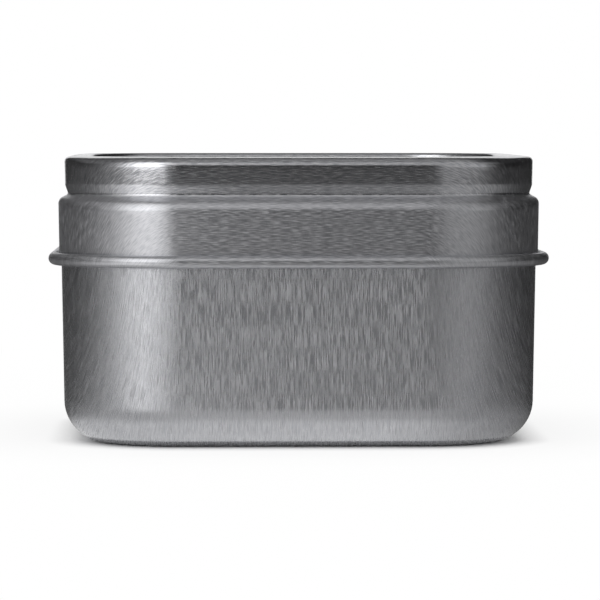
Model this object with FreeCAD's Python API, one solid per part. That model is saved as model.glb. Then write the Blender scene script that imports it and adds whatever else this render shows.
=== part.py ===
import FreeCAD, Part
import math
import os

# A small square tin with rounded corners, shut with its slip-on lid.
#
# Frame: millimetres, +Z up. The origin is the middle of the base, on the plane
# that the tin stands on, and the four flat sides face +X, -X, +Y and -Y.
#
# Both pieces are pressed from tinplate, and each has one section all the way
# round. A section is drawn in the XZ plane: its first number is the distance out
# from a corner axis, the upright line at the centre of a corner's curve, and its
# second is the height. Pushed along a side it makes the flat wall, and turned
# about the corner axis it makes the corner.

# ---- driving dimensions ----------------------------------------------------

SIDE_WIDTH = 76.0  # across the body's flat sides, at its rim
BODY_HEIGHT = 37.9  # from the floor to the body's rim
CORNER_RADIUS = 18.7  # of the body's corners, at its rim
SHEET = 0.25  # thickness of the tinplate

# The body is drawn from one blank, and leans in a little towards its foot so
# that it leaves the die.
BODY_DRAFT = 0.662  # how far the side leans in, from the rim down to the floor
FOOT_RADIUS = 6.55  # curve between the side and the base
FOOT_RING_WIDTH = 2.6  # flat ring that the tin stands on
BASE_PANEL_RISE = 0.6  # the base is pressed up inside that ring
BASE_SLOPE_WIDTH = 1.2  # slope from the ring to the raised base
BASE_BEND_RADIUS = 0.8  # bends at the two ends of that slope

# The lid is one pressing. From the middle outwards and down it has a sunk panel,
# a raised rim, a neck that turns in at its waist to a groove, a sloping shoulder
# that sits on the body's rim, a skirt outside the body and a curled edge.
LID_CLEARANCE = 0.08  # between the body's side and the inside of the skirt
PANEL_DEPTH = 1.2  # from the crest of the rim down to the panel
PANEL_BEND_RADIUS = 0.5  # between the panel and the side of the rim
RIM_WIDTH = 3.15  # across the top of the rim, before its edges are rounded
RIM_FALL = 0.45  # the rim slopes down by this much from its inner edge outwards
RIM_INNER_RADIUS = 0.7
RIM_OUTER_RADIUS = 1.4
RIM_DRAFT = 0.15  # how far the inner side of the rim leans over its depth
NECK_HEIGHT = 5.95  # from the groove to the crest of the rim
NECK_DEPTH = 1.0  # the neck's top, in from the outside of the skirt
WAIST_HEIGHT = 1.5  # from the groove up to where the neck turns in towards it
WAIST_DEPTH = 1.1  # the waist, in from the outside of the skirt
WAIST_RADIUS = 2.0
GROOVE_DEPTH = 1.75  # the groove, in from the outside of the skirt
GROOVE_RADIUS = 0.4
SHOULDER_FALL = 1.45  # from the groove down to the shoulder's outer edge
SHOULDER_RADIUS = 1.8  # outside curve between the shoulder and the skirt
SKIRT_DROP = 8.8  # from the body's rim down to the middle of the curled edge

# The edge is rolled outwards and up, so that no cut edge can be touched.
CURL_DIAMETER = 2.0
CURL_GAP = 0.08  # between the cut edge inside the roll and the skirt

# ---- values that follow ----------------------------------------------------

CORNER_AXIS = SIDE_WIDTH / 2 - CORNER_RADIUS  # x and y of the corner axes

SHOULDER_INNER_RADIUS = SHOULDER_RADIUS - SHEET
SKIRT_INSIDE = CORNER_RADIUS + LID_CLEARANCE
SKIRT_OUTSIDE = SKIRT_INSIDE + SHEET
SHOULDER_EDGE = BODY_HEIGHT + SHEET
GROOVE_LEVEL = SHOULDER_EDGE + SHOULDER_FALL
WAIST_LEVEL = GROOVE_LEVEL + WAIST_HEIGHT
LID_TOP = GROOVE_LEVEL + NECK_HEIGHT
PANEL_LEVEL = LID_TOP - PANEL_DEPTH


def body_side(height):
    """Distance from the corner axis to the body's side at a height."""
    return CORNER_RADIUS - BODY_DRAFT * (1 - height / BODY_HEIGHT)


# ---- drawing a section -----------------------------------------------------


def point(out, height):
    """A point of a section, as a vector in the XZ plane."""
    return FreeCAD.Vector(out, 0, height)


def bend(before, corner, after, radius):
    """The arc that rounds one corner of an outline, tangent to both its lines."""
    to_before = (before - corner).normalize()
    to_after = (after - corner).normalize()
    half_angle = to_before.getAngle(to_after) / 2
    middle_line = (to_before + to_after).normalize()
    reach = radius / math.tan(half_angle)
    to_middle = radius / math.sin(half_angle) - radius
    start = corner + to_before * reach
    middle = corner + middle_line * to_middle
    end = corner + to_after * reach
    return Part.Arc(start, middle, end).toShape()


def rounded_line(corners):
    """Edges through (out, height, radius) corners. The two ends have no radius."""
    places = [point(out, height) for out, height, _ in corners]
    radii = [radius for _, _, radius in corners]
    edges = []
    here = places[0]
    for index in range(1, len(places)):
        if radii[index]:
            arc = bend(
                places[index - 1], places[index], places[index + 1], radii[index]
            )
            edges.append(Part.makeLine(here, arc.Vertexes[0].Point))
            edges.append(arc)
            here = arc.Vertexes[-1].Point
        else:
            edges.append(Part.makeLine(here, places[index]))
            here = places[index]
    return edges


def turned_arc(centre, radius, start, end):
    """An arc about a centre, between two angles in degrees from straight out."""

    def at(angle):
        turn = math.radians(angle)
        return centre + point(radius * math.cos(turn), radius * math.sin(turn))

    return Part.Arc(at(start), at((start + end) / 2), at(end)).toShape()


def all_round(edges, middle_bottom, middle_top):
    """The solid with a section's shape on all four sides and corners.

    The section reaches in to the corner axes, and a plain block between
    middle_bottom and middle_top fills the square between them.
    """
    face = Part.Face(Part.Wire(edges))
    run = 2 * CORNER_AXIS
    side = face.translated(FreeCAD.Vector(CORNER_AXIS, -CORNER_AXIS, 0))
    side = side.extrude(FreeCAD.Vector(0, run, 0))
    axis_foot = FreeCAD.Vector(CORNER_AXIS, CORNER_AXIS, 0)
    up = FreeCAD.Vector(0, 0, 1)
    corner = face.translated(axis_foot).revolve(axis_foot, up, 90)
    middle = Part.makeBox(
        run,
        run,
        middle_top - middle_bottom,
        FreeCAD.Vector(-CORNER_AXIS, -CORNER_AXIS, middle_bottom),
    )
    pieces = []
    for quarter in range(4):
        for piece in (side, corner):
            pieces.append(piece.rotated(FreeCAD.Vector(), up, 90 * quarter))
    return middle.fuse(pieces).removeSplitter()


# ---- the two pieces --------------------------------------------------------


def make_tin_body():
    """The drawn body. Shut under its lid it is solid up to its rim."""
    ring_outside = body_side(0) - FOOT_RADIUS
    ring_inside = ring_outside - FOOT_RING_WIDTH
    panel_edge = ring_inside - BASE_SLOPE_WIDTH
    edges = rounded_line(
        [
            (0, BASE_PANEL_RISE, 0),
            (panel_edge, BASE_PANEL_RISE, BASE_BEND_RADIUS),
            (ring_inside, 0, BASE_BEND_RADIUS),
            (body_side(0), 0, FOOT_RADIUS),
            (body_side(BODY_HEIGHT), BODY_HEIGHT, SHOULDER_INNER_RADIUS),
            (0, BODY_HEIGHT, 0),
            (0, BASE_PANEL_RISE, 0),
        ]
    )
    return all_round(edges, BASE_PANEL_RISE, BODY_HEIGHT)


def make_lid():
    """The pressed lid: solid above the body's rim, with a thin skirt round it."""
    # The skirt leans in with the body and keeps its clearance down to the curl,
    # which starts at the skirt's inside and so has its middle a radius further out.
    curl_radius = CURL_DIAMETER / 2
    curl_level = BODY_HEIGHT - SKIRT_DROP
    skirt_foot = body_side(curl_level) + LID_CLEARANCE
    curl_middle = point(skirt_foot + curl_radius, curl_level)

    # The roll starts pointing down and stops just before it meets the skirt.
    start = 180
    skirt_to_middle = curl_radius - SHEET
    end = 360 + math.degrees(math.acos((CURL_GAP - skirt_to_middle) / curl_radius))
    roll_outside = turned_arc(curl_middle, curl_radius, start, end)
    roll_inside = turned_arc(curl_middle, curl_radius - SHEET, end, start)
    cut_edge = Part.makeLine(
        roll_outside.Vertexes[-1].Point, roll_inside.Vertexes[0].Point
    )

    inside = rounded_line(
        [
            (0, BODY_HEIGHT, 0),
            (SKIRT_INSIDE, BODY_HEIGHT, SHOULDER_INNER_RADIUS),
            (skirt_foot, curl_level, 0),
        ]
    )
    neck_top = SKIRT_OUTSIDE - NECK_DEPTH
    rim_inside = neck_top - RIM_WIDTH
    outside = rounded_line(
        [
            (skirt_foot + SHEET, curl_level, 0),
            (SKIRT_OUTSIDE, SHOULDER_EDGE, SHOULDER_RADIUS),
            (SKIRT_OUTSIDE - GROOVE_DEPTH, GROOVE_LEVEL, GROOVE_RADIUS),
            (SKIRT_OUTSIDE - WAIST_DEPTH, WAIST_LEVEL, WAIST_RADIUS),
            (neck_top, LID_TOP - RIM_FALL, RIM_OUTER_RADIUS),
            (rim_inside, LID_TOP, RIM_INNER_RADIUS),
            (rim_inside - RIM_DRAFT, PANEL_LEVEL, PANEL_BEND_RADIUS),
            (0, PANEL_LEVEL, 0),
            (0, BODY_HEIGHT, 0),
        ]
    )
    edges = inside + [roll_outside, cut_edge, roll_inside] + outside
    return all_round(edges, BODY_HEIGHT, PANEL_LEVEL)


# ---- writing the parts -----------------------------------------------------

MAKERS = {
    "tin_body": make_tin_body,
    "lid": make_lid,
}

os.makedirs("parts", exist_ok=True)
for name, make in MAKERS.items():
    shape = make()
    if len(shape.Solids) != 1 or not shape.isValid():
        raise ValueError(f"{name} is not one sound solid")
    solid = shape.Solids[0]
    solid.exportStep(f"parts/{name}.step")
    box = solid.optimalBoundingBox(False)
    print(
        f"{name}: {box.XLength:.2f} x {box.YLength:.2f} x {box.ZLength:.2f} mm, "
        f"from z {box.ZMin:.2f}, {len(solid.Faces)} faces, {solid.Volume:.0f} mm3"
    )
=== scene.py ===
# %% [markdown]
# # A small square tin with a slip-on lid
#
# The tin is two pressings of thin tinplate: a drawn body, and a lid that is pushed
# over it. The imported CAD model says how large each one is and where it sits. This
# lesson loads that model as a fixed frame, models both pressings again as fine
# meshes whose surface coordinates follow the sheet, and gives them the brushed
# finish that the sheet had before it was pressed.

# %% Load the frame
import math

import bmesh
import bpy
from mathutils import Matrix, Vector


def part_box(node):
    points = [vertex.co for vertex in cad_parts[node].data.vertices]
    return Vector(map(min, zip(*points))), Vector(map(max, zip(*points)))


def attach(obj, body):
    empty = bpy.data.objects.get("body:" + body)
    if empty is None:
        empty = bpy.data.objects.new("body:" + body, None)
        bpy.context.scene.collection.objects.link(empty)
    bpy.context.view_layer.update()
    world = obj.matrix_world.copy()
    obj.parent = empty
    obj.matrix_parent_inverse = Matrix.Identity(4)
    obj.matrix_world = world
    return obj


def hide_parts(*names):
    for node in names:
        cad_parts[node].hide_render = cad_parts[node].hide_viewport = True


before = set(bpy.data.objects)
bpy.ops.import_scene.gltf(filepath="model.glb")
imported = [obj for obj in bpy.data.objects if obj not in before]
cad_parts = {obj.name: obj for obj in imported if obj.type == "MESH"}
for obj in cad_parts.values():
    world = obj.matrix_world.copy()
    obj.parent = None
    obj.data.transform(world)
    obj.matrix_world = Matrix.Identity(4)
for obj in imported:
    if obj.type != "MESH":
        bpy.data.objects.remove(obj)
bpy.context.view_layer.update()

MM = 0.001  # one millimetre in metres
body_low, body_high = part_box("tin_body")
lid_low, lid_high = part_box("lid")
print("body", [round(value / MM, 2) for value in body_high - body_low], "mm")
print("lid", [round(value / MM, 2) for value in lid_high - lid_low], "mm")

# %% [markdown]
# ## Where the sizes come from
#
# Everything hangs on four sizes that the frame gives: the height of the body, the
# top and the lowest point of the lid, and the outside of its rolled edge. The
# smaller sizes are those of the press tools, in millimetres. The corner axis is
# the upright line at the centre of a corner's curve, and both pressings share it.

# %% Sizes of the pressings
CORNER_RADIUS = 18.7  # of the body's corners at its rim
SHEET = 0.25  # thickness of the tinplate
BODY_DRAFT = 0.662  # how far the body's side leans in, from its rim to the floor
LID_CLEARANCE = 0.08  # between the body and the inside of the skirt
CURL_RADIUS = 1.0  # outside of the rolled edge
CURL_GAP = 0.08  # between the cut edge inside the roll and the skirt
CURL_LIFT = 0.08  # the roll sits this much higher than in the plain model
CREST_ROUNDING = 0.095  # height that rounding takes off the lid's crest

BODY_TOP = body_high.z / MM
CURL_LEVEL = lid_low.z / MM + CURL_RADIUS + CURL_LIFT  # of the roll's middle
CREST = lid_high.z / MM + CREST_ROUNDING


def body_side(height):
    """Distance in mm from the corner axis to the body's side at a height."""
    return CORNER_RADIUS - BODY_DRAFT * (1 - height / BODY_TOP)


SKIRT_FOOT = body_side(CURL_LEVEL) + LID_CLEARANCE  # inside of the skirt, at the roll
CORE = lid_high.x / MM - (SKIRT_FOOT + 2 * CURL_RADIUS)
print(f"corner axis {CORE:.2f} mm out, body {BODY_TOP:.2f} mm high, crest {CREST:.2f}")

# %% [markdown]
# ## Drawing a section
#
# A pressing has one section all the way round, so it is drawn once. The section is
# a chain of edges through a few corners, given as (distance out from the corner
# axis, height, bend radius). A vertex bevel rounds each corner: its offset is the
# distance from the corner to where the bend starts, which is the radius divided by
# the tangent of half the angle between the two runs. Long runs are then divided,
# so that the wall has enough vertices to change its section in the corners. The
# chain stands over the front side's left end, where the sweep starts.
#
# The lid's bends are a little sharper at its left and right ends than at the front
# and back, so its section is drawn for both. The sweep uses the first, and every
# vertex remembers how far off the second one is.

# %% Helpers for a section
LONGEST_EDGE = 0.8  # mm, along a section


def place(out, height):
    """The point of a section that stands at the left end of the front side."""
    return Vector((-CORE, -CORE - out, height)) * MM


SECTION_VALUES = ("bent", "drawn", "end_out", "end_up")


def new_section():
    """An empty mesh whose vertices can hold the numbers that a section carries."""
    bm = bmesh.new()
    for name in SECTION_VALUES:
        bm.verts.layers.float.new(name)
    return bm


def add_line(bm, corners):
    """A chain through (out, height, radius, steps) corners, and its end vertices."""
    points = [place(out, height) for out, height, *_ in corners]
    verts = [bm.verts.new(point) for point in points]
    for pair in zip(verts, verts[1:]):
        bm.edges.new(pair)
    for index in range(1, len(corners) - 1):
        _, _, radius, steps = corners[index]
        to_last = points[index - 1] - points[index]
        to_next = points[index + 1] - points[index]
        inside_angle = to_last.angle(to_next)
        bmesh.ops.bevel(
            bm,
            geom=[verts[index]],
            affect="VERTICES",
            offset_type="OFFSET",
            offset=radius * MM / math.tan(inside_angle / 2),
            segments=steps,
            profile=0.5,
            material=-1,
        )
    return verts[0], verts[-1]


def divide_long_edges(front, end):
    """Cuts each long edge of the front's section, and the same one of the end's."""
    for edge, partner in zip(front.edges[:], end.edges[:]):
        cuts = int(edge.calc_length() / (LONGEST_EDGE * MM))
        if cuts:
            bmesh.ops.subdivide_edges(front, edges=[edge], cuts=cuts)
            bmesh.ops.subdivide_edges(end, edges=[partner], cuts=cuts)


def remember_end(front, end):
    """Stores on the front's section how far off each point of the end's is."""
    out = front.verts.layers.float["end_out"]
    up = front.verts.layers.float["end_up"]
    for vert, partner in zip(front.verts, end.verts):
        vert[out] = vert.co.y - partner.co.y
        vert[up] = partner.co.z - vert.co.z


# %% [markdown]
# ## Surface coordinates that follow the sheet
#
# Both pressings start as a flat sheet that was brushed in one direction. On a
# straight side the sheet only bends, so a point keeps its distance along the sheet.
# Round a corner the metal is drawn: it gets longer down the wall and narrower
# around it, and its area stays the same. So each vertex keeps two numbers, its
# distance along the sheet for a straight side, and for a corner the distance that
# gives the same area in the flat sheet. The brush marks then lean round the
# corners just as far as they do on a real drawn tin.

# %% Measure along a section
def measure_sheet(bm, first_height):
    """Stores both distances from the corner axis, in metres, on a section."""
    ends = [vert for vert in bm.verts if len(vert.link_edges) == 1]
    start = min(ends, key=lambda vert: abs(vert.co.z - first_height * MM))
    bent = bm.verts.layers.float["bent"]
    drawn = bm.verts.layers.float["drawn"]
    last, here = None, start
    length = area = 0.0
    while here:
        here[bent] = length
        here[drawn] = math.sqrt(2 * area)
        onward = [edge.other_vert(here) for edge in here.link_edges]
        onward = [vert for vert in onward if vert is not last]
        if not onward:
            break
        step = (onward[0].co - here.co).length
        mean_out = -CORE * MM - (onward[0].co.y + here.co.y) / 2
        length += step
        area += mean_out * step
        last, here = here, onward[0]
    print(f"sheet length {length / MM:.1f} mm over {len(bm.verts)} vertices")


def from_axis(co):
    """The nearest point of the square between the corner axes, and the way out."""
    core = CORE * MM
    foot = Vector((min(max(co.x, -core), core), min(max(co.y, -core), core)))
    return foot, co.xy - foot


def sheet_coordinates(bm, name):
    """A UV map in metres that lays the pressing out as the flat sheet it was."""
    bent = bm.verts.layers.float["bent"]
    drawn = bm.verts.layers.float["drawn"]
    uv = bm.loops.layers.uv.new(name)
    for face in bm.faces:
        for loop in face.loops:
            foot, out = from_axis(loop.vert.co)
            if out.length < 1e-7:
                loop[uv].uv = foot
                continue
            out.normalize()
            corner = abs(2 * out.x * out.y)  # 0 on a side, 1 in mid corner
            reach = loop.vert[bent] * (1 - corner) + loop.vert[drawn] * corner
            loop[uv].uv = foot + out * reach


# %% [markdown]
# ## Sweeping the section all the way round
#
# Spin does both jobs. With a step and no angle it pushes the section along a side,
# and with an angle it turns it about the corner axis. After four sides and four
# corners the last section lies on the first, and merging the doubles closes the
# ring. What is left is the square between the corner axes, and grid fill closes
# that from its front and back edges.

# %% Helpers for the sweep
SIDE_STEPS = 40
CORNER_STEPS = 28
DOUBLES_DISTANCE = 0.0005 * MM


def sweep_round(bm):
    """Pushes a section along each side and turns it round each corner."""
    section = bm.verts[:] + bm.edges[:]
    up = Vector((0, 0, 1))
    for quarter in range(4):
        turn = Matrix.Rotation(math.radians(90 * quarter), 3, "Z")
        step = turn @ Vector((2 * CORE * MM / SIDE_STEPS, 0, 0))
        axis = turn @ Vector((CORE, -CORE, 0)) * MM
        section = bmesh.ops.spin(
            bm, geom=section, axis=up, dvec=step, angle=0, steps=SIDE_STEPS
        )["geom_last"]
        section = bmesh.ops.spin(
            bm,
            geom=section,
            cent=axis,
            axis=up,
            angle=math.radians(90),
            steps=CORNER_STEPS,
        )["geom_last"]
    bmesh.ops.remove_doubles(bm, verts=bm.verts, dist=DOUBLES_DISTANCE)


def fill_middle(bm):
    """Closes the square between the corner axes, at each level where it is open."""
    levels = {}
    for edge in bm.edges:
        across = abs(edge.verts[0].co.x - edge.verts[1].co.x) > 1e-6
        if edge.is_boundary and across:
            levels.setdefault(round(edge.verts[0].co.z, 6), []).append(edge)
    for edges in levels.values():
        bmesh.ops.grid_fill(bm, edges=edges)
    return len(levels)


# %% [markdown]
# ## From one section to the other
#
# The front's section turns into the ends' section inside the corners, where the
# metal bends anyway. A smooth step over the angle does it, so that no line shows.
# Then each piece is built in one go: draw, sweep, fill, lay out the sheet, shape
# the ends. Last it is hung on what it rides on, and the CAD node it stands for is
# hidden.

# %% Shape the ends and build a piece
END_STARTS, END_FULL = 50, 80  # degrees round a corner


def end_share(out):
    """0 at the front and back, 1 at the two ends, turning over in the corners."""
    turned = math.degrees(math.atan2(abs(out.x), abs(out.y)))
    share = min(max((turned - END_STARTS) / (END_FULL - END_STARTS), 0.0), 1.0)
    return share * share * (3 - 2 * share)


def shape_ends(bm):
    """Gives the two ends their own section."""
    out_layer = bm.verts.layers.float["end_out"]
    up_layer = bm.verts.layers.float["end_up"]
    for vert in bm.verts:
        _, out = from_axis(vert.co)
        if out.length < 1e-7:
            continue
        share = end_share(out)
        vert.co.xy += out.normalized() * vert[out_layer] * share
        vert.co.z += vert[up_layer] * share


def make_piece(name, node, draw, first_height):
    """Sweeps a section into a closed piece that stands for a CAD node."""
    bm, end = draw("front"), draw("end")
    divide_long_edges(bm, end)
    remember_end(bm, end)
    end.free()
    measure_sheet(bm, first_height)
    sweep_round(bm)
    filled = fill_middle(bm)
    bmesh.ops.recalc_face_normals(bm, faces=bm.faces)
    sheet_coordinates(bm, "sheet")
    shape_ends(bm)
    for face in bm.faces:
        face.smooth = True
    open_edges = sum(not edge.is_manifold for edge in bm.edges)
    mesh = bpy.data.meshes.new(name)
    bm.to_mesh(mesh)
    bm.free()
    piece = bpy.data.objects.new(name, mesh)
    bpy.context.scene.collection.objects.link(piece)
    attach(piece, "root")
    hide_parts(node)
    print(f"{name}: {len(mesh.polygons)} faces, {filled} squares filled")
    print(f"{name}: {open_edges} open edges")
    return piece


# %% [markdown]
# ## The body
#
# The body is drawn from one blank. It stands on a flat ring, its base is pressed up
# a little inside that ring, and a generous curve leads into a side that leans out
# towards the rim. It is shut, so it is modelled as the closed form that can be
# seen, up to the rim that the lid rests on.

# %% Body sizes
FOOT_RADIUS = 6.55  # curve between the side and the base
FOOT_RING_WIDTH = 2.6
BASE_PANEL_RISE = 0.6
BASE_SLOPE_WIDTH = 1.2
BASE_BEND_RADIUS = 0.8
RIM_BEND_RADIUS = 1.55  # of the body's rim, and of the lid's inside over it


# %% Model the body
def draw_body(_):
    """The body's section, the same on every side, from base to rim."""
    ring_outside = body_side(0) - FOOT_RADIUS
    ring_inside = ring_outside - FOOT_RING_WIDTH
    bm = new_section()
    add_line(
        bm,
        [
            (0, BASE_PANEL_RISE),
            (ring_inside - BASE_SLOPE_WIDTH, BASE_PANEL_RISE, BASE_BEND_RADIUS, 3),
            (ring_inside, 0, BASE_BEND_RADIUS, 3),
            (body_side(0), 0, FOOT_RADIUS, 14),
            (body_side(BODY_TOP), BODY_TOP, RIM_BEND_RADIUS, 5),
            (0, BODY_TOP),
        ],
    )
    return bm


body_piece = make_piece(
    "body_pressing", "tin_body", draw_body, BASE_PANEL_RISE
)

# %% [markdown]
# ## The lid
#
# The lid's section runs from the sunk panel over the raised rim, down the neck to a
# groove, out over the shoulder and down the skirt. There the sheet is rolled
# outwards and up, so its outside goes on as the inside of the roll. Both faces of
# the roll are a vertex spun about the roll's centre, and one short edge between
# their ends is the cut edge of the sheet.

# %% Lid sizes
# depths are in from the outside of the skirt, for the front and for the ends
PANEL_DEPTH = 1.2  # from the crest down to the panel
PANEL_BEND_RADIUS = 0.5
RIM_WIDTH = 3.15
RIM_INNER_RADIUS = 0.7
RIM_DRAFT = 0.15
RIM_FALL = {"front": 0.52, "end": 0.25}  # from the crest out to the rim's edge
RIM_OUTER_RADIUS = {"front": 1.4, "end": 0.8}
NECK_DEPTH = {"front": 1.1, "end": 0.98}
WAIST_LEVEL = {"front": 40.9, "end": 40.9}  # where the neck turns in to the groove
WAIST_DEPTH = {"front": 1.25, "end": 1.08}
WAIST_RADIUS = {"front": 1.6, "end": 1.2}
GROOVE_LEVEL = {"front": 39.47, "end": 39.4}
GROOVE_DEPTH = {"front": 1.9, "end": 1.6}
GROOVE_RADIUS = {"front": 0.6, "end": 0.4}
SHOULDER_EDGE = {"front": 37.95, "end": 38.6}  # where shoulder and skirt would meet
SHOULDER_RADIUS = {"front": 1.9, "end": 1.1}
ROLL_STEPS = 26


# %% Model the lid
def roll_face(bm, vert, centre, stop):
    """One face of the rolled edge: a vertex spun from the skirt to the cut edge."""
    turned = bmesh.ops.spin(
        bm,
        geom=[vert],
        cent=centre,
        axis=(-1, 0, 0),
        angle=stop,
        steps=ROLL_STEPS,
    )["geom_last"]
    return turned[0]


def draw_lid(where):
    """The lid's section, from the panel's middle round to the inside's middle."""
    outside = CORNER_RADIUS + LID_CLEARANCE + SHEET
    panel = CREST - PANEL_DEPTH
    neck = outside - NECK_DEPTH[where]
    rim_inside = neck - RIM_WIDTH
    waist = outside - WAIST_DEPTH[where]
    groove = outside - GROOVE_DEPTH[where]
    bm = new_section()
    _, outside_foot = add_line(
        bm,
        [
            (0, panel),
            (rim_inside - RIM_DRAFT, panel, PANEL_BEND_RADIUS, 6),
            (rim_inside, CREST, RIM_INNER_RADIUS, 8),
            (neck, CREST - RIM_FALL[where], RIM_OUTER_RADIUS[where], 14),
            (waist, WAIST_LEVEL[where], WAIST_RADIUS[where], 8),
            (groove, GROOVE_LEVEL[where], GROOVE_RADIUS[where], 8),
            (outside, SHOULDER_EDGE[where], SHOULDER_RADIUS[where], 12),
            (SKIRT_FOOT + SHEET, CURL_LEVEL),
        ],
    )
    inside_foot, _ = add_line(
        bm,
        [
            (SKIRT_FOOT, CURL_LEVEL),
            (CORNER_RADIUS + LID_CLEARANCE, BODY_TOP, RIM_BEND_RADIUS, 5),
            (0, BODY_TOP),
        ],
    )
    centre = place(SKIRT_FOOT + CURL_RADIUS, CURL_LEVEL)
    gap_angle = math.acos((CURL_RADIUS - SHEET - CURL_GAP) / CURL_RADIUS)
    stop = math.radians(360) - gap_angle
    inner_end = roll_face(bm, outside_foot, centre, stop)
    outer_end = roll_face(bm, inside_foot, centre, stop)
    bm.edges.new((inner_end, outer_end))
    return bm


lid_piece = make_piece(
    "lid_pressing", "lid", draw_lid, CREST - PANEL_DEPTH
)

# %% [markdown]
# ## Bright brushed tinplate
#
# Tinplate is thin steel with a skin of tin. This sheet was brushed, so it carries
# short fine scratches that all run one way. They spread a reflection across
# themselves and leave it sharp along themselves, which is what anisotropy does.
#
# The scratches are noise stretched along the brushing and laid on the sheet
# coordinates, so they follow the metal round its bends. Only the peaks of the
# noise become scratches, where the metal is rougher, and all of it is a bump of a
# hundredth of a millimetre or so. On the scratches the colour is also painted a
# touch lighter: a painted glint that stands in for the light the scratches catch.
# Real scratches are finer than that across. These are drawn a little over a tenth
# wide, so that they show.

# %% Node helper and colours
def hex_colour(text):
    """An sRGB hex colour as the linear RGBA that a shader takes."""
    values = [int(text[n : n + 2], 16) / 255 for n in (1, 3, 5)]
    linear = [
        value / 12.92 if value <= 0.04045 else ((value + 0.055) / 1.055) ** 2.4
        for value in values
    ]
    return (*linear, 1.0)


def add_node(tree, kind, settings=None, values=None, links=None):
    """Adds a node, sets its properties and sockets, and links its inputs."""
    node = tree.nodes.new(kind)
    for name, value in (settings or {}).items():
        setattr(node, name, value)
    for name, value in (values or {}).items():
        node.inputs[name].default_value = value
    for name, source in (links or {}).items():
        tree.links.new(source, node.inputs[name])
    return node


def grey(level):
    """A grey as bright as level."""
    return (level, level, level, 1.0)


def add_ramp(tree, value, stops):
    """A ramp with a colour at each place: stops are (place, colour)."""
    first, last = stops[0][0], stops[-1][0]
    share = add_node(
        tree,
        "ShaderNodeMapRange",
        values={"From Min": first, "From Max": last},
        links={"Value": value},
    )
    ramp = add_node(tree, "ShaderNodeValToRGB", links={"Fac": share.outputs["Result"]})
    elements = ramp.color_ramp.elements
    while len(elements) < len(stops):
        elements.new(0.5)
    for element, (at, colour) in zip(elements, stops):
        element.position = (at - first) / (last - first)
        element.color = colour
    return ramp.outputs["Color"]


# %% The brushed finish
# each layer of marks as (width in mm, length in mm, share)
BODY_MARKS = ((0.13, 3.6, 0.94), (0.5, 7.0, 0.06))
LID_MARKS = ((0.11, 1.6, 0.92), (0.4, 4.0, 0.08))
SCRATCH_STARTS, SCRATCH_FULL = 0.54, 0.68  # values of the noise
# the tinplate's grey, and a lighter grey on the scratches that is a painted glint
METAL_GREYS_WITH_PAINTED_GLINT = ((0.36, hex_colour("#B3B4B8")), (0.62, hex_colour("#D3D3D6")))


def brush_marks(tree, layers, along_y):
    """Noise stretched along the brushing, as the sum of its layers' shares."""
    sheet = add_node(tree, "ShaderNodeUVMap", {"uv_map": "sheet"})
    marks = None
    for width, length, share in layers:
        across, along = 1 / (width * MM), 1 / (length * MM)
        mapping = add_node(
            tree,
            "ShaderNodeMapping",
            values={"Scale": (across, along, 1) if along_y else (along, across, 1)},
            links={"Vector": sheet.outputs["UV"]},
        )
        layer = add_node(
            tree,
            "ShaderNodeTexNoise",
            {"noise_dimensions": "2D"},
            {"Scale": 1.0, "Detail": 1.0, "Roughness": 0.5},
            {"Vector": mapping.outputs["Vector"]},
        )
        links = {0: layer.outputs["Fac"]}
        if marks:
            links[2] = marks
        marks = add_node(
            tree,
            "ShaderNodeMath",
            {"operation": "MULTIPLY_ADD"},
            {1: share, 2: 0.0},
            links,
        ).outputs[0]
    return marks


def brushed_tinplate(name, layers, along_y, smooth, scratched, depth, spread):
    """Brushed tinplate. smooth and scratched are the roughness between and on its
    scratches, depth is their height in mm and spread is their anisotropy."""
    material = bpy.data.materials.new(name)
    material.use_nodes = True
    tree = material.node_tree
    shader = tree.nodes["Principled BSDF"]
    marks = brush_marks(tree, layers, along_y)
    roughness = add_node(
        tree,
        "ShaderNodeMapRange",
        values={
            "From Min": SCRATCH_STARTS,
            "From Max": SCRATCH_FULL,
            "To Min": smooth,
            "To Max": scratched,
        },
        links={"Value": marks},
    )
    bump = add_node(
        tree,
        "ShaderNodeBump",
        values={"Strength": 1.0, "Distance": depth * MM},
        links={"Height": marks},
    )
    tangent = add_node(
        tree, "ShaderNodeTangent", {"direction_type": "UV_MAP", "uv_map": "sheet"}
    )
    # base colour: painted lighter on the scratches, a painted glint for the light they
    # catch
    tree.links.new(add_ramp(tree, marks, METAL_GREYS_WITH_PAINTED_GLINT), shader.inputs["Base Color"])
    shader.inputs["Metallic"].default_value = 1.0
    shader.inputs["Anisotropic"].default_value = spread
    shader.inputs["Anisotropic Rotation"].default_value = 0.0 if along_y else 0.25
    tree.links.new(roughness.outputs[0], shader.inputs["Roughness"])
    tree.links.new(bump.outputs["Normal"], shader.inputs["Normal"])
    tree.links.new(tangent.outputs["Tangent"], shader.inputs["Tangent"])
    return material


body_finish = brushed_tinplate(
    "brushed_tinplate_body", BODY_MARKS, True, 0.27, 0.85, 0.02, 0.8
)
body_piece.data.materials.append(body_finish)
lid_finish = brushed_tinplate(
    "brushed_tinplate_lid", LID_MARKS, False, 0.32, 0.5, 0.006, 0.55
)
lid_piece.data.materials.append(lid_finish)
print("finishes", body_finish.name, lid_finish.name)

# %% [markdown]
# ## A smoother neck
#
# The neck is the part that the press works hardest, between the punch and the
# groove. The tool rubs down its scratches, so it shows its surroundings more
# sharply than the skirt does. Roughness is scaled by height to give that.

# %% Polish the neck
NECK_POLISH = 0.5  # roughness of the neck, as a share of the skirt's
POLISH_STARTS, POLISH_FULL = -0.1, 0.3  # mm above the groove


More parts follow.
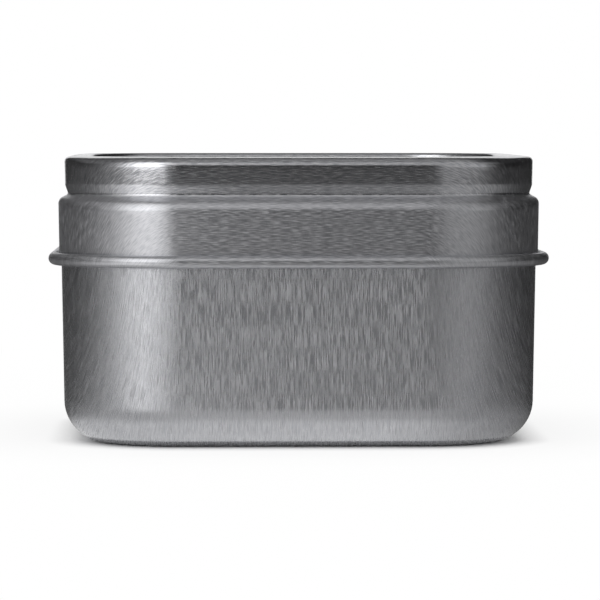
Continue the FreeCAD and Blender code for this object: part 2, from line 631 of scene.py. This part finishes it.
def polish_above(material, level):
    """Scales down a material's roughness above a height in mm."""
    tree = material.node_tree
    socket = tree.nodes["Principled BSDF"].inputs["Roughness"]
    position = add_node(tree, "ShaderNodeTexCoord").outputs["Object"]
    axes = add_node(tree, "ShaderNodeSeparateXYZ", links={"Vector": position})
    polish = add_node(
        tree,
        "ShaderNodeMapRange",
        values={
            "From Min": (level + POLISH_STARTS) * MM,
            "From Max": (level + POLISH_FULL) * MM,
            "To Min": 1.0,
            "To Max": NECK_POLISH,
        },
        links={"Value": axes.outputs["Z"]},
    )
    scaled = add_node(
        tree,
        "ShaderNodeMath",
        {"operation": "MULTIPLY"},
        links={0: socket.links[0].from_socket, 1: polish.outputs["Result"]},
    )
    tree.links.new(scaled.outputs[0], socket)


polish_above(lid_finish, GROOVE_LEVEL["front"])
print(f"{lid_finish.name} polished above {GROOVE_LEVEL['front']} mm")

# %% [markdown]
# ## Lamps
#
# Three soft lamps light the studio: a key to the front left, a weak fill to the
# right and one overhead. Metal has no colour of its own and shows what stands
# round it, so the lamps are kept out of its reflections, where their hard edges
# would show. They only light the floor and give the tin its soft shadow.

# %% Lamps
def around(azimuth, distance, height):
    """A place round the tin: azimuth 0 is in front, and positive to the right."""
    turn = math.radians(azimuth)
    return Vector((distance * math.sin(turn), -distance * math.cos(turn), height))


def aim(thing, target):
    """Turns a lamp or the camera to look at a point."""
    look = Vector(target) - thing.location
    thing.rotation_euler = look.to_track_quat("-Z", "Y").to_euler()


def add_softbox(name, location, target, width, height, level):
    """A rectangular lamp whose surface is as bright as level, where 1 is white."""
    lamp = bpy.data.lights.new(name, "AREA")
    lamp.shape = "RECTANGLE"
    lamp.size, lamp.size_y = width, height
    lamp.energy = level * math.pi * width * height
    thing = bpy.data.objects.new(name, lamp)
    bpy.context.scene.collection.objects.link(thing)
    thing.location = location
    thing.visible_camera = False
    thing.visible_glossy = False
    aim(thing, target)
    return thing


add_softbox("key_softbox", around(-29, 0.8, 0.2), (0, 0, 0.02), 0.4, 0.3, 1.5)
add_softbox("fill_softbox", around(28, 0.8, 0.16), (0, 0, 0.02), 0.3, 0.24, 0.4)
add_softbox("top_softbox", (0, -0.42, 0.72), (0, 0, 0), 0.9, 0.55, 0.6)

# %% [markdown]
# ## World and floor
#
# The world is plain white. The floor is a matt white table that takes the tin's
# shadow. Seen directly or in the metal it also glows up to white, which is how a
# white sweep looks when it is lit well. Next to the tin it doesn't glow, so the
# dark line of contact and the shadow round it stay.

# %% Helpers for the floor
FLOOR_SIZE = 6.0
# how white the floor glows at distances from the corner axes, in metres
FLOOR_WHITE = ((0.0155, 0.0), (0.021, 0.82), (0.05, 0.96), (0.2, 1.0))


def background_rays(tree):
    """1 for camera, glossy and transmission rays, and 0 for the rest."""
    path = add_node(tree, "ShaderNodeLightPath")
    reflected = add_node(
        tree,
        "ShaderNodeMath",
        {"operation": "MAXIMUM"},
        links={
            0: path.outputs["Is Glossy Ray"],
            1: path.outputs["Is Transmission Ray"],
        },
    )
    return add_node(
        tree,
        "ShaderNodeMath",
        {"operation": "MAXIMUM"},
        links={0: path.outputs["Is Camera Ray"], 1: reflected.outputs[0]},
    ).outputs[0]


def distance_outside(tree):
    """How far a point is from the square between the corner axes, so that it
    follows the tin's outline."""
    position = add_node(tree, "ShaderNodeTexCoord").outputs["Object"]
    value = add_node(
        tree, "ShaderNodeVectorMath", {"operation": "ABSOLUTE"}, links={0: position}
    ).outputs["Vector"]
    for operation, limit in (("SUBTRACT", CORE * MM), ("MAXIMUM", 0.0)):
        value = add_node(
            tree,
            "ShaderNodeVectorMath",
            {"operation": operation},
            {1: (limit, limit, limit)},
            {0: value},
        ).outputs["Vector"]
    return add_node(
        tree, "ShaderNodeVectorMath", {"operation": "LENGTH"}, links={0: value}
    ).outputs["Value"]


# %% World and floor
world = bpy.data.worlds.new("studio_world")
bpy.context.scene.world = world
world.use_nodes = True
background = world.node_tree.nodes["Background"]
background.inputs["Color"].default_value = (1, 1, 1, 1)
background.inputs["Strength"].default_value = 1.0
# rays from a surface find the world, so that what stands in their way counts
world.cycles.sampling_method = "NONE"

bm = bmesh.new()
bmesh.ops.create_grid(bm, x_segments=1, y_segments=1, size=FLOOR_SIZE / 2)
floor_mesh = bpy.data.meshes.new("floor")
bm.to_mesh(floor_mesh)
bm.free()
floor = bpy.data.objects.new("floor", floor_mesh)
bpy.context.scene.collection.objects.link(floor)

paint = bpy.data.materials.new("matt_white_table")
paint.use_nodes = True
tree = paint.node_tree
shader = tree.nodes["Principled BSDF"]
shader.inputs["Base Color"].default_value = hex_colour("#F2F2F2")  # matt paint
shader.inputs["Roughness"].default_value = 0.9
shader.inputs["Specular IOR Level"].default_value = 0.2
far = add_ramp(
    tree, distance_outside(tree), [(at, grey(share)) for at, share in FLOOR_WHITE]
)
whiteness = add_node(
    tree,
    "ShaderNodeMath",
    {"operation": "MULTIPLY"},
    links={0: far, 1: background_rays(tree)},
)
white = add_node(tree, "ShaderNodeEmission", values={"Color": (1, 1, 1, 1)})
blend = add_node(
    tree,
    "ShaderNodeMixShader",
    links={0: whiteness.outputs[0], 1: shader.outputs[0], 2: white.outputs[0]},
)
tree.links.new(blend.outputs[0], tree.nodes["Material Output"].inputs["Surface"])
paint.cycles.emission_sampling = "NONE"
floor.data.materials.append(paint)
print(f"floor {FLOOR_SIZE} m wide")

# %% [markdown]
# ## Cards round the tin
#
# Shiny metal in an all-white room looks like white plastic. So grey, black and
# bright cards are put round it, and their reflections draw its shape. A wall runs
# all the way round, and a card lies on the floor. They are seen in reflections
# alone and cast no light or shadow.
#
# A flat side mirrors only a narrow part of the room, and a corner mirrors all the
# rest. So a bright card to the front left makes the light band in the left corner,
# a dark one straight ahead keeps the front calm, and dark ones to the sides and
# behind give both ends their dark edges. The tables say how bright the cards are,
# from straight behind the tin round its left, front and right. The wall has three,
# from low to high, and the floor has four, from the foot outwards.

# %% Brightness of the cards
# pairs of azimuth in degrees and level, where 1 is white
WALL_LOW = (
    (-180, 0.03), (-110, 0.05), (-85, 0.14), (-66, 0.4), (-52, 1.25),
    (-37, 2.25), (-18, 2.15), (-11, 0.4), (-5, 0.06), (12, 0.07),
    (22, 0.4), (40, 0.5), (62, 0.55), (72, 0.3), (80, 0.05),
    (100, 0.02), (180, 0.03),
)
WALL_HIGH = (
    (-180, 0.04), (-120, 0.15), (-85, 0.2), (-68, 0.5), (-52, 1.6),
    (-37, 2.0), (-22, 1.9), (-7, 0.8), (5, 0.5), (50, 0.47),
    (70, 0.4), (85, 0.2), (100, 0.04), (180, 0.04),
)
WALL_TOP = ((-180, 0.3), (180, 0.3))
FLOOR_CONTACT = (
    (-180, 0.06), (-110, 0.06), (-85, 0.25), (-60, 0.75), (-30, 0.8),
    (20, 0.8), (40, 0.5), (60, 0.25), (80, 0.08), (105, 0.05),
    (180, 0.06),
)
FLOOR_NEAR = (
    (-180, 0.06), (-100, 0.08), (-75, 0.2), (-50, 0.5), (-20, 0.58),
    (15, 0.55), (40, 0.4), (60, 0.3), (80, 0.15), (100, 0.05),
    (180, 0.06),
)
FLOOR_MIDDLE = (
    (-180, 0.06), (-105, 0.12), (-80, 0.25), (-60, 0.6), (-42, 1.3),
    (-30, 1.2), (-18, 0.55), (-8, 0.26), (15, 0.25), (30, 0.38),
    (40, 0.42), (60, 0.34), (75, 0.23), (95, 0.1), (120, 0.05),
    (180, 0.06),
)
FLOOR_FAR = (
    (-180, 0.05), (-100, 0.12), (-70, 0.22), (-52, 0.26), (-35, 0.29),
    (-16, 0.33), (-5, 0.13), (3, 0.08), (15, 0.1), (25, 0.26),
    (40, 0.2), (62, 0.11), (75, 0.09), (95, 0.06), (180, 0.05),
)

# %% Where each table holds
def rise(elevation):
    """Height of a direction at an elevation in degrees, where straight up is 1."""
    return math.sin(math.radians(elevation))


# each table takes over from the one before between two heights or two distances
WALL_BANDS = (
    (WALL_LOW, 0, 0),
    (WALL_HIGH, rise(22), rise(36)),
    (WALL_TOP, rise(52), rise(70)),
)
FLOOR_BANDS = (
    (FLOOR_CONTACT, 0, 0),
    (FLOOR_NEAR, 0.0195, 0.0245),
    (FLOOR_MIDDLE, 0.034, 0.05),
    (FLOOR_FAR, 0.09, 0.4),
)
print(len(WALL_BANDS), "bands on the wall,", len(FLOOR_BANDS), "on the floor")

# %% [markdown]
# ## A glow that follows the tables
#
# A card could be painted with an image, but a few nodes keep it exact. The azimuth
# of a point is the arctangent of its place, a ramp turns that into a level, and a
# smooth step over the height or the distance leads from one ramp to the next.

# %% Glow of the cards
def glow_material(name, bands, by_height):
    """A glow that follows the azimuth, in bands by height or by distance."""
    material = bpy.data.materials.new(name)
    material.use_nodes = True
    material.cycles.emission_sampling = "NONE"
    tree = material.node_tree
    tree.nodes.clear()
    coords = add_node(tree, "ShaderNodeTexCoord").outputs["Object"]
    way = add_node(
        tree, "ShaderNodeVectorMath", {"operation": "NORMALIZE"}, links={0: coords}
    )
    axes = add_node(
        tree, "ShaderNodeSeparateXYZ", links={"Vector": way.outputs["Vector"]}
    )
    forward = add_node(
        tree,
        "ShaderNodeMath",
        {"operation": "MULTIPLY"},
        {1: -1.0},
        {0: axes.outputs["Y"]},
    )
    azimuth = add_node(
        tree,
        "ShaderNodeMath",
        {"operation": "ARCTAN2"},
        links={0: axes.outputs["X"], 1: forward.outputs[0]},
    ).outputs[0]
    place_on = axes.outputs["Z"] if by_height else distance_outside(tree)
    level = None
    for levels, start, full in bands:
        stops = [(math.radians(at), grey(glow)) for at, glow in levels]
        ramp = add_ramp(tree, azimuth, stops)
        if level is None:
            level = ramp
            continue
        share = add_node(
            tree,
            "ShaderNodeMapRange",
            {"interpolation_type": "SMOOTHSTEP"},
            {"From Min": start, "From Max": full},
            {"Value": place_on},
        )
        level = add_node(
            tree,
            "ShaderNodeMix",
            {"data_type": "FLOAT"},
            links={"Factor": share.outputs["Result"], "A": level, "B": ramp},
        ).outputs["Result"]
    emission = add_node(tree, "ShaderNodeEmission", links={"Strength": level})
    add_node(tree, "ShaderNodeOutputMaterial", links={"Surface": emission.outputs[0]})
    return material


# %% [markdown]
# ## Shapes of the cards
#
# The floor card starts just outside the foot and follows the tin's rounded square:
# a flat ring is made round one corner axis, and each quarter of it is moved out to
# its own axis. The wall is a drum with an almost closed top. Behind the tin its
# lower part is cut away, so that the rim's flat crest mirrors the white world.

# %% Helpers for the shapes
SURROUND_RADIUS = 1.2
RING_SEGMENTS = 96


def grow_ring(bm, ring, scale, lift):
    """Extrudes a ring of edges to a wider or higher one, and gives its vertices."""
    edges = [edge for edge in bm.edges if all(vert in ring for vert in edge.verts)]
    grown = bmesh.ops.extrude_edge_only(bm, edges=edges)["geom"]
    ring = [item for item in grown if isinstance(item, bmesh.types.BMVert)]
    bmesh.ops.scale(bm, vec=(scale, scale, 1), verts=ring)
    bmesh.ops.translate(bm, vec=(0, 0, lift), verts=ring)
    return ring


def new_ring(bm, radius, height):
    """A circle round the tin's axis, with no vertex straight ahead or behind."""
    ring = bmesh.ops.create_circle(bm, segments=RING_SEGMENTS, radius=radius)["verts"]
    bmesh.ops.translate(bm, vec=(0, 0, height), verts=ring)
    half_step = Matrix.Rotation(math.pi / RING_SEGMENTS, 3, "Z")
    bmesh.ops.rotate(bm, matrix=half_step, verts=ring)
    return ring


def card_object(name, bm, material):
    """A card of the stage that only glossy rays can see."""
    mesh = bpy.data.meshes.new(name)
    bm.to_mesh(mesh)
    bm.free()
    mesh.materials.append(material)
    card = bpy.data.objects.new(name, mesh)
    bpy.context.scene.collection.objects.link(card)
    card.visible_camera = False
    card.visible_diffuse = False
    card.visible_transmission = False
    card.visible_volume_scatter = False
    card.visible_shadow = False
    print(name, len(mesh.polygons), "faces")
    return card


# %% Floor card
FLOOR_CARD_EDGE = 0.0148  # from the corner axes, just outside the foot
FLOOR_CARD_HEIGHT = 0.0005
FLOOR_CARD_RINGS = (0.03, 0.1, 0.4, SURROUND_RADIUS)

bm = bmesh.new()
ring = new_ring(bm, FLOOR_CARD_EDGE, FLOOR_CARD_HEIGHT)
for radius in FLOOR_CARD_RINGS:
    ring = grow_ring(bm, ring, radius / ring[0].co.xy.length, 0)
for vert in bm.verts:
    vert.co.x += math.copysign(CORE * MM, vert.co.x)
    vert.co.y += math.copysign(CORE * MM, vert.co.y)
card_object("floor_card", bm, glow_material("floor_glow", FLOOR_BANDS, False))

# %% Wall card
SURROUND_HEIGHT = 1.4
TOP_HOLE = 0.01  # width of the hole in the drum's top, as a share of the drum's
OPENING_HEIGHT = 0.58
OPENING_ANGLE = 16  # degrees to each side of straight behind

bm = bmesh.new()
ring = new_ring(bm, SURROUND_RADIUS, 0)
ring = grow_ring(bm, ring, 1, OPENING_HEIGHT)
behind = []
for face in bm.faces:
    middle = face.calc_center_median()
    if abs(math.degrees(math.atan2(middle.x, middle.y))) < OPENING_ANGLE:
        behind.append(face)
ring = grow_ring(bm, ring, 1, SURROUND_HEIGHT - OPENING_HEIGHT)
grow_ring(bm, ring, TOP_HOLE, 0)
bmesh.ops.delete(bm, geom=behind, context="FACES")
card_object("wall_card", bm, glow_material("wall_glow", WALL_BANDS, True))

# %% [markdown]
# ## Camera
#
# The tin is seen from the front with a long lens, a little above its lid and
# almost square on, so that its sides run straight and the lid's top is a sliver.

# %% Camera
CAMERA_DISTANCE = 0.6365  # from the tin's upright axis
CAMERA_SHIFT = 0.00064  # the tin stands this far left of the view's middle
CAMERA_HEIGHT = 0.05101
CAMERA_PITCH = 0.0463  # radians down
TIN_TURN = 0.0233  # radians that the front faces to the camera's left
LENS = 232.0  # mm, on a sensor 36 mm wide

camera = bpy.data.objects.new("camera", bpy.data.cameras.new("camera"))
camera.data.lens = LENS
camera.data.sensor_width = 36.0
camera.location = Matrix.Rotation(-TIN_TURN, 3, "Z") @ Vector(
    (CAMERA_SHIFT, -CAMERA_DISTANCE, CAMERA_HEIGHT)
)
camera.rotation_euler = (math.pi / 2 - CAMERA_PITCH, 0, -TIN_TURN)
camera.data.clip_start = 0.01
bpy.context.scene.collection.objects.link(camera)
bpy.context.scene.camera = camera
bpy.context.scene.view_settings.view_transform = "Standard"
print("camera at", [round(value, 4) for value in camera.location], "m")
